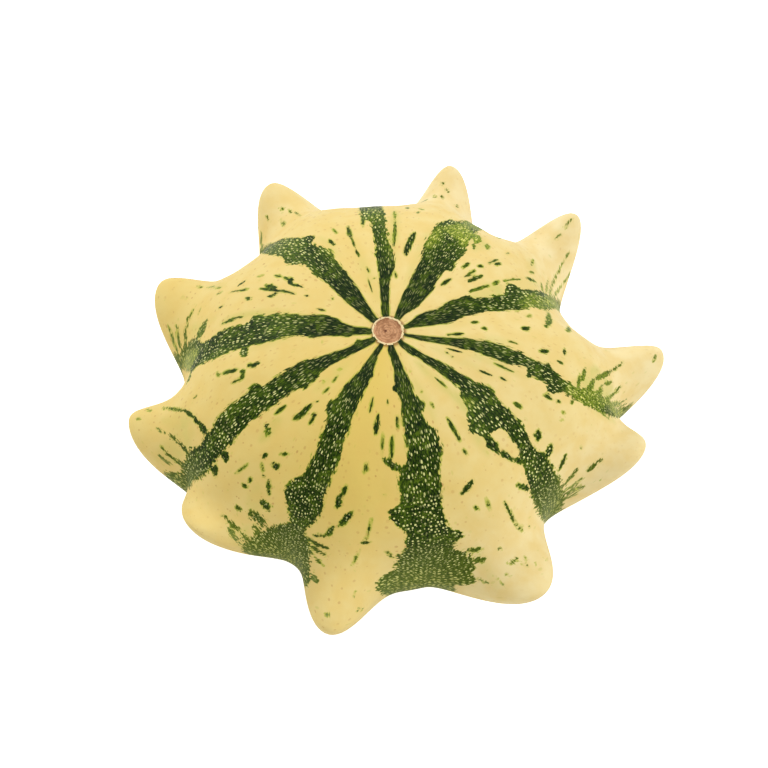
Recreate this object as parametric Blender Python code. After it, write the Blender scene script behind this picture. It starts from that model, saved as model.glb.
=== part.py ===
# Hedgehog gourd: a small ornamental squash with ten blunt horns round a ribbed crown.
# It grew as one piece, so it is one closed solid, with its stem scar and blossom end.
# Metres, +Z up. The origin is the middle of the small flat spot that the gourd rests on.

from collections import namedtuple
from math import asin, atan2, cos, degrees, hypot, pi, radians, sin

import bmesh
import bpy

MM = 0.001

# The body, in millimetres, measured from its waist, the level where it is widest.
CROWN = 36.5          # from the waist up to the stem
UNDERSIDE = 27.0      # from the waist down to where the blossom end would come to a point
FULLNESS = 0.78       # 1 is an ellipse, less is a fuller shoulder
REST_RADIUS = 10.0    # the flat spot under the blossom end
RIB_RISE = 0.9        # how far the ribs that run up to the stem stand out

# The horns sit just below the waist and fade away above and below it.
HORN_LEVEL = radians(97)
HORN_FADE_UP = radians(16)
HORN_FADE_DOWN = radians(21)
HORN_BLUNTNESS = 3.0  # 2 is a pointed horn, more is a blunter one
HORN_TAPER = 1.15     # how quickly it thins past its root

# Seen from above and counted anticlockwise: where the rib runs, how far out the tip reaches,
# how high the tip is over the waist, how far it leans round, and how narrow the horn is on the
# flank before its rib and on the flank after it.
Horn = namedtuple("Horn", "azimuth reach rise lean before after")
HORNS = (
    Horn(azimuth=11, reach=65.5, rise=7.5, lean=2, before=0.8, after=1.85),
    Horn(azimuth=48.5, reach=64.5, rise=13, lean=-1, before=2.1, after=2.0),
    Horn(azimuth=78.5, reach=62, rise=10, lean=0, before=1.15, after=2.75),
    Horn(azimuth=117, reach=62, rise=8.5, lean=3, before=2.65, after=1.15),
    Horn(azimuth=156, reach=61.5, rise=5, lean=-1, before=1.8, after=1.05),
    Horn(azimuth=194, reach=59.5, rise=5, lean=-3.5, before=1.45, after=0.6),
    Horn(azimuth=226.5, reach=56.5, rise=9, lean=-1.5, before=0.6, after=0.9),
    Horn(azimuth=260.5, reach=61.5, rise=4.5, lean=0.5, before=1.95, after=2.45),
    Horn(azimuth=305.5, reach=62.5, rise=7.5, lean=1.5, before=1.15, after=1.3),
    Horn(azimuth=346.5, reach=60.5, rise=11.5, lean=-1, before=1.0, after=0.65),
)

# The green valleys between them: each one follows the horn of the same place in the list.
Valley = namedtuple("Valley", "azimuth radius")
VALLEYS = (
    Valley(azimuth=26.5, radius=47.5),
    Valley(azimuth=64, radius=49.5),
    Valley(azimuth=96.5, radius=49.5),
    Valley(azimuth=135.5, radius=47.5),
    Valley(azimuth=177, radius=47.5),
    Valley(azimuth=208.5, radius=50.5),
    Valley(azimuth=241.5, radius=44.5),
    Valley(azimuth=284.5, radius=45),
    Valley(azimuth=328.5, radius=47),
    Valley(azimuth=359.5, radius=54),
)

# The scar where the stem broke away: a sunk corky disc in a raised rim.
Ring = namedtuple("Ring", "radius rise")
SCAR_MIDDLE = -0.5
SCAR = (
    Ring(radius=1.2, rise=-0.6),
    Ring(radius=2.3, rise=-0.5),
    Ring(radius=2.9, rise=-0.1),
    Ring(radius=3.4, rise=0.4),
    Ring(radius=3.8, rise=0.1),
    Ring(radius=4.3, rise=-0.2),
)
SKIN_STARTS = 5.2     # radius where the skin takes over from the scar

# The surface is a grid of columns from stem to blossom end and of rows round the body.
COLUMNS_A_HORN = 12
SKIN_ROWS = 34
ROWS = len(SCAR) + SKIN_ROWS + 2
CROWDING = 0.16       # radians by which the rows draw together where the horns are

# Half the width of a green stripe, as a share of the way from one horn to the next.
STRIPE_START = 0.2
STRIPE_SPREAD = 0.06

SKIN = "gourd skin"
STRIPE = "gourd stripe"
CORK = "stem scar"
COLOURS = {
    SKIN: (0.86, 0.70, 0.25, 1.0),
    STRIPE: (0.035, 0.11, 0.025, 1.0),
    CORK: (0.50, 0.28, 0.14, 1.0),
}
ROUGHNESS = {SKIN: 0.42, STRIPE: 0.42, CORK: 0.85}


def smooth(values, place, turn=0.0):
    """Read a smooth closed curve that passes through one value at each whole place."""
    before = int(place // 1)
    step = place - before
    count = len(values)
    a, b, c, d = (
        values[index % count] + turn * (index // count)
        for index in range(before - 1, before + 3)
    )
    bend = 2 * a - 5 * b + 4 * c - d
    twist = 3 * (b - c) + d - a
    return b + 0.5 * step * (c - a + step * (bend + step * twist))


def azimuth(place):
    """Direction of a column: a horn's rib at each whole place, a valley half-way to the next."""
    knots = [side.azimuth for pair in zip(HORNS, VALLEYS) for side in pair]
    return smooth(knots, 2 * place, turn=360)


def body_level(growth):
    """Height of the body over the waist, for a growth from 0 at the stem to pi underneath."""
    if growth < pi / 2:
        return CROWN * cos(growth)
    return UNDERSIDE * cos(growth)


def skin_point(place, growth):
    """Radius, direction and height of the skin, horns included."""
    rib_place = round(place)
    number = rib_place % len(HORNS)
    horn = HORNS[number]
    narrowness = horn.before if place < rib_place else horn.after
    radius = smooth([valley.radius for valley in VALLEYS], place - 0.5)
    radius *= sin(growth) ** FULLNESS
    height = body_level(growth)

    rib = 0.5 + 0.5 * cos(2 * pi * place)
    fade = HORN_FADE_UP if growth < HORN_LEVEL else HORN_FADE_DOWN
    reach_share = (1 + (abs(growth - HORN_LEVEL) / fade) ** HORN_BLUNTNESS) ** -HORN_TAPER
    horn_share = rib ** narrowness * reach_share * sin(growth) ** 0.5

    root = (VALLEYS[number].radius + VALLEYS[number - 1].radius) / 2
    root *= sin(HORN_LEVEL) ** FULLNESS
    radius += (horn.reach - root) * horn_share
    radius += RIB_RISE * rib * sin(growth) ** 1.5 * (1 - horn_share)
    height += (horn.rise - body_level(HORN_LEVEL)) * horn_share
    return radius, azimuth(place) + horn.lean * horn_share, height


def waist_radius():
    """Mean radius of the body at its waist, between the horns."""
    return sum(valley.radius for valley in VALLEYS) / len(VALLEYS)


def growth_at(radius):
    """Growth where the body has this radius near the stem, or mirrored near the blossom end."""
    return asin((radius / waist_radius()) ** (1 / FULLNESS))


FIRST_GROWTH = growth_at(SKIN_STARTS)
LAST_GROWTH = pi - growth_at(REST_RADIUS)
REST_LEVEL = body_level(LAST_GROWTH)
SCAR_LEVEL = body_level(growth_at(SCAR[-1].radius))


def grid_point(place, row):
    """A point of the whole surface: the scar's rings, then the skin, then the flat spot."""
    if row == 0:
        return 0.0, 0.0, SCAR_LEVEL + SCAR_MIDDLE
    if row == ROWS:
        return 0.0, 0.0, REST_LEVEL
    if row == ROWS - 1:
        return REST_RADIUS, azimuth(place), REST_LEVEL
    if row <= len(SCAR):
        ring = SCAR[row - 1]
        return ring.radius, azimuth(place), SCAR_LEVEL + ring.rise
    share = (row - len(SCAR) - 1) / SKIN_ROWS
    growth = FIRST_GROWTH + (LAST_GROWTH - FIRST_GROWTH) * share
    return skin_point(place, growth + CROWDING * sin(2 * pi * share))


def in_place(radius, direction, height):
    """Turn a radius, a direction in degrees and a height over the waist into metres."""
    angle = radians(direction)
    return (
        MM * radius * cos(angle),
        MM * radius * sin(angle),
        MM * (height - REST_LEVEL),
    )


def surface_name(place, row):
    """Which surface a face belongs to, from the place and the row of its middle."""
    if row < len(SCAR):
        return CORK
    from_valley = abs((place % 1) - 0.5)
    half_width = STRIPE_START - STRIPE_SPREAD * (row - len(SCAR)) / SKIN_ROWS
    return STRIPE if from_valley < half_width else SKIN


def place_on_sphere(point):
    """Place round the crown and row from the stem, for a point of a unit sphere."""
    x, y, z = point
    place = (degrees(atan2(y, x)) % 360) / 360 * len(HORNS)
    row = ROWS * atan2(hypot(x, y), z) / pi
    return place, row


def make_gourd(collection):
    """Draw a sphere's grid out into the gourd."""
    grid = bmesh.new()
    columns = COLUMNS_A_HORN * len(HORNS)
    bmesh.ops.create_uvsphere(grid, u_segments=columns, v_segments=ROWS, radius=1.0)
    surfaces = list(COLOURS)
    for face in grid.faces:
        face.smooth = True
        middle = place_on_sphere(face.calc_center_median())
        face.material_index = surfaces.index(surface_name(*middle))
    for corner in grid.verts:
        place, row = place_on_sphere(corner.co)
        column = round(place * COLUMNS_A_HORN)
        corner.co = in_place(*grid_point(column / COLUMNS_A_HORN, round(row)))
    mesh = bpy.data.meshes.new("gourd")
    grid.to_mesh(mesh)
    grid.free()
    for name in surfaces:
        mesh.materials.append(finish(name))
    gourd = bpy.data.objects.new("gourd", mesh)
    collection.objects.link(gourd)
    return gourd


def finish(name):
    """Material with the surface's own colour and gloss."""
    material = bpy.data.materials.new(name)
    material.use_nodes = True
    shader = material.node_tree.nodes["Principled BSDF"]
    shader.inputs["Base Color"].default_value = COLOURS[name]
    shader.inputs["Roughness"].default_value = ROUGHNESS[name]
    shader.inputs["Metallic"].default_value = 0.0
    return material


def main():
    for thing in list(bpy.data.objects):
        bpy.data.objects.remove(thing)
    collection = bpy.data.collections.new("hedgehog gourd")
    bpy.context.scene.collection.children.link(collection)
    make_gourd(collection)


main()
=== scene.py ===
# Hedgehog gourd: the finished skin of a small ornamental squash with ten horns.
# Its green stripes and flecks are read off the photo as places on the grown skin, and
# its specks and pores are a fine pattern that the materials draw.
from collections import namedtuple
from math import cos, pi, radians, sin

import bmesh
import bpy
import numpy as np
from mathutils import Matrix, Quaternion, Vector


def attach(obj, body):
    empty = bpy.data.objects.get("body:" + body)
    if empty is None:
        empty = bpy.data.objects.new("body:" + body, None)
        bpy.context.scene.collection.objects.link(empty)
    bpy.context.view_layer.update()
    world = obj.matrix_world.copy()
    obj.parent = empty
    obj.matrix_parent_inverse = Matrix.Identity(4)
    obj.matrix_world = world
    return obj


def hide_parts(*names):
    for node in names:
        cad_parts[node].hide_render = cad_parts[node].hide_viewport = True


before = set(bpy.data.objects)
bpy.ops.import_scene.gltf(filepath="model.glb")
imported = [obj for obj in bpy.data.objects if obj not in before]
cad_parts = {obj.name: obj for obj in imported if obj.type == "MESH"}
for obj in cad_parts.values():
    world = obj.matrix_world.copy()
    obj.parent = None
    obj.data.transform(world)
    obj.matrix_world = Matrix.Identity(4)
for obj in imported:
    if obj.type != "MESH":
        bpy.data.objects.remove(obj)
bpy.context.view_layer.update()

MM = 0.001

# The body's form, the same as the solid's, in millimetres from its waist
CROWN = 36.5
UNDERSIDE = 27.0
FULLNESS = 0.78
REST_RADIUS = 10.0
RIB_RISE = 0.9
HORN_LEVEL = radians(97)
HORN_FADE_UP = radians(16)
HORN_FADE_DOWN = radians(21)
HORN_BLUNTNESS = 3.0
HORN_TAPER = 1.15
# The solid's coarser grid misses the very peaks of the horns, so they stay a little lower
HORN_SNUG = 0.992

# Seen from above and counted anticlockwise, with how narrow each horn's two flanks are. The
# horns' and valleys' numbers come from a scratch fit to the photo's outline, and are rounded.
Horn = namedtuple("Horn", "azimuth reach rise lean before after")
HORNS = (
    Horn(11, 65.5, 7.5, 2, 0.8, 1.85),
    Horn(48.5, 64.5, 13, -1, 2.1, 2.0),
    Horn(78.5, 62, 10, 0, 1.15, 2.75),
    Horn(117, 62, 8.5, 3, 2.65, 1.15),
    Horn(156, 61.5, 5, -1, 1.8, 1.05),
    Horn(194, 59.5, 5, -3.5, 1.45, 0.6),
    Horn(226.5, 56.5, 9, -1.5, 0.6, 0.9),
    Horn(260.5, 61.5, 4.5, 0.5, 1.95, 2.45),
    Horn(305.5, 62.5, 7.5, 1.5, 1.15, 1.3),
    Horn(346.5, 60.5, 11.5, -1, 1.0, 0.65),
)
TURN = len(HORNS)

# Each valley follows the horn of the same place in the list
Valley = namedtuple("Valley", "azimuth radius")
VALLEYS = (
    Valley(26.5, 47.5),
    Valley(64, 49.5),
    Valley(96.5, 49.5),
    Valley(135.5, 47.5),
    Valley(177, 47.5),
    Valley(208.5, 50.5),
    Valley(241.5, 44.5),
    Valley(284.5, 45),
    Valley(328.5, 47),
    Valley(359.5, 54),
)
WAIST_RADIUS = sum(valley.radius for valley in VALLEYS) / TURN

# The corky scar of the stem, from its middle out, and the dry dimple at the blossom end
Ring = namedtuple("Ring", "radius rise")
SCAR = (
    Ring(0, -0.5),
    Ring(1.2, -0.6),
    Ring(2.3, -0.5),
    Ring(2.9, -0.1),
    Ring(3.4, 0.4),
    Ring(3.8, 0.1),
    Ring(4.3, -0.2),
    Ring(5.2, 0),
)
# Where the skin takes over, the cork with its dark heart, its torn rim and its fine rings
SKIN_STARTS = 5.2
CORK_RADIUS = 3.55
SCAR_OFFSET = (-0.35, 0.0, 0.0)
HEART_PLACE = (-0.9, 0.3, 0.0)
RIM_STARTS = 3.2
RIM_RADIUS = 3.4
RIM_WIDTH = 0.7
RING_STEP = 0.62
RING_HEIGHT = 0.05
RINGS_END = 3.0
BLOSSOM_RADIUS = 2.6
BLOSSOM_DEPTH = 0.5

# Rows of the skin's grid: how many lie above each growth, closer together on the horns
COLUMNS_A_HORN = 48
SCAR_ROWS = 20
REST_ROWS = 8
ROWS_TO_HORNS = 72
ROWS_TO_UNDERSIDE = 145
SKIN_ROWS = 178
HORNS_START = radians(65)
UNDERSIDE_STARTS = radians(106)
ROWS = SCAR_ROWS + SKIN_ROWS + REST_ROWS
SEAM_GAP = 1e-7

# Low swellings of the skin: waves round the body, waves down it, where they start, height
Swelling = namedtuple("Swelling", "around down start height")
SWELLINGS = (
    Swelling(around=7, down=6, start=0.3, height=0.16),
    Swelling(around=11, down=-9, start=2.6, height=0.12),
    Swelling(around=17, down=11, start=1.9, height=0.10),
    Swelling(around=29, down=-17, start=4.1, height=0.05),
    Swelling(around=41, down=23, start=5.0, height=0.03),
)

# A place on the skin is told by its turn round the crown, whole numbers being the horns, and
# by its growth, the degrees that it lies from the stem over the waist to the blossom end.
# Each valley's stripe: growth, then its left and right edge counted from the valley's own horn.
STRIPES = (
    (
        (3, .1, .6), (5, .07, .72), (8, .1, .72), (10, .09, .64), (12, .14, .68), (15, .28, .7),
        (20, .31, .68), (22, .32, .6), (30, .32, .57), (33, .32, .6), (36, .35, .68),
        (38, .36, .7), (40, .38, .66), (43, .4, .62), (50, .41, .63), (55, .46, .64),
        (60, .5, .65), (65, .52, .66), (70, .54, .67), (76, .55, .69), (88, .56, .72),
        (100, .5, .72),
    ),
    (
        (3, .2, .95), (5, .04, .94), (7, 0, .91), (10, .07, .86), (13, .1, .84), (15, .2, .83),
        (20, .27, .82), (21, .15, .84), (23, .17, .87), (25, .22, .88), (31, .25, .88),
        (34, .32, .87), (40, .36, .84), (43, .36, .8), (46, .4, .76), (49, .42, .65),
        (55, .44, .62), (70, .42, .62), (100, .4, .62),
    ),
    (
        (3, .42, .95), (5, .42, .76), (8, .41, .7), (11, .39, .66), (13, .34, .63), (15, .31, .63),
        (19, .32, .62), (22, .37, .61), (27, .42, .6), (33, .44, .6), (38, .44, .59),
        (40, .45, .65), (45, .45, .66), (50, .46, .65), (60, .46, .63), (100, .4, .6),
    ),
    (
        (3, .4, .95), (5, .34, .82), (8, .27, .77), (10, .22, .74), (13, .21, .68), (17, .2, .63),
        (20, .19, .61), (24, .18, .6), (28, .16, .56), (31, .2, .55), (33, .24, .6),
        (36, .26, .63), (38, .17, .61), (40, .18, .58), (42, .27, .57), (46, .3, .56),
        (50, .32, .57), (56, .33, .55), (60, .36, .53), (65, .37, .48), (70, .35, .44),
        (76, .33, .41), (86, .32, .42), (100, .38, .55),
    ),
    (
        (3, .42, 1), (5, .45, .9), (6, .45, .9), (7, .42, 1), (8, .38, .85), (10, .26, .82),
        (13, .24, .81), (16, .26, .78), (18, .28, .72), (20, .28, .69), (25, .29, .7),
        (30, .3, .71), (36, .31, .7), (38, .4, .69), (44, .4, .69), (50, .41, .69), (55, .43, .67),
        (60, .43, .65), (62, .42, .64), (65, .38, .66), (68, .32, .64), (70, .31, .58),
        (75, .31, .53), (80, .31, .48), (85, .34, .42), (90, .31, .38), (100, .3, .5),
    ),
    (
        (3, .4, .9), (4, .4, .9), (5, .2, .85), (6, .45, .8), (8, .46, .78), (10, .44, .74),
        (13, .4, .71), (16, .36, .71), (17, .32, .76), (19, .32, .79), (22, .34, .77),
        (24, .36, .71), (31, .4, .71), (33, .3, .7), (35, .32, .69), (37, .36, .68),
        (45, .37, .67), (50, .4, .69), (54, .45, .68), (58, .45, .68), (63, .47, .68),
        (67, .43, .69), (70, .4, .67), (74, .42, .63), (78, .42, .61), (82, .45, .62),
        (86, .42, .56), (90, .37, .5), (100, .35, .55),
    ),
    (
        (3, .4, .8), (5, .44, .77), (7, .42, .8), (9, .43, .82), (10, .46, .88), (11, .42, .84),
        (14, .36, .8), (17, .33, .79), (20, .38, .78), (21, .3, .78), (22, .28, .78),
        (25, .32, .79), (26, .4, .79), (30, .46, .78), (36, .49, .79), (40, .5, .79),
        (48, .5, .77), (50, .43, .76), (53, .38, .76), (56, .37, .77), (59, .4, .77),
        (63, .46, .74), (66, .5, .71), (69, .52, .67), (71, .48, .69), (73, .42, .73),
        (76, .35, .76), (80, .3, .78), (86, .26, .82), (92, .26, .78), (100, .26, .7),
    ),
    (
        (3, .15, .6), (5, .3, .64), (8, .38, .67), (10, .38, .7), (12, .37, .71), (13, .3, .71),
        (15, .42, .7), (17, .44, .75), (19, .43, .84), (20, .43, .76), (22, .43, .71),
        (25, .43, .74), (27, .43, .82), (34, .43, .8), (36, .4, .75), (38, .36, .73),
        (41, .34, .7), (46, .35, .69), (50, .35, .67), (52, .27, .66), (56, .28, .66),
        (59, .34, .67), (61, .38, .68), (63, .38, .7), (65, .38, .78), (67, .38, .76),
        (69, .38, .71), (72, .34, .7), (74, .33, .78), (78, .32, .78), (80, .32, .8),
        (82, .22, .76), (86, .21, .76), (88, .23, .72), (92, .24, .66), (100, .28, .68),
    ),
    (
        (3, 0, .4), (5, .1, .44), (7, .25, .46), (9, .28, .5), (11, .31, .54), (14, .34, .58),
        (17, .36, .58), (20, .38, .6), (22, .31, .61), (25, .3, .67), (28, .2, .65), (30, .18, .6),
        (32, .13, .6), (34, .18, .6), (36, .22, .59), (38, .42, .59), (44, .42, .58),
        (50, .4, .53), (54, .38, .54), (57, .36, .56), (62, .34, .57), (66, .32, .57),
        (72, .32, .58), (80, .34, .6), (86, .36, .6), (92, .42, .58), (100, .42, .6),
    ),
    (
        (3, -.1, .3), (5, -.05, .35), (8, .06, .4), (10, .1, .45), (13, .13, .5), (16, .14, .5),
        (18, .14, .54), (20, .13, .5), (24, .13, .47), (27, .13, .44), (29, .18, .4),
        (31, .18, .36), (32, .06, .36), (33, .1, .37), (37, .1, .38), (39, .1, .33), (40, 0, .3),
        (42, .02, .29), (44, .1, .27), (49, .13, .27), (50, .1, .3), (52, .15, .32),
        (56, .15, .36), (60, .18, .4), (65, .22, .42), (70, .26, .45), (75, .32, .48),
        (80, .4, .53), (86, .48, .6), (92, .52, .66), (100, .5, .65),
    ),
)
UNDERNEATH = ((125, .38, .60), (150, .42, .58), (172, .44, .56))
# How dark each stripe is, from 0 for pale to 1
STRIPE_DEPTH = (0.85, 0.9, 0.8, 0.9, 0.95, 1.0, 1.0, 1.0, 0.95, 0.9)

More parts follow.
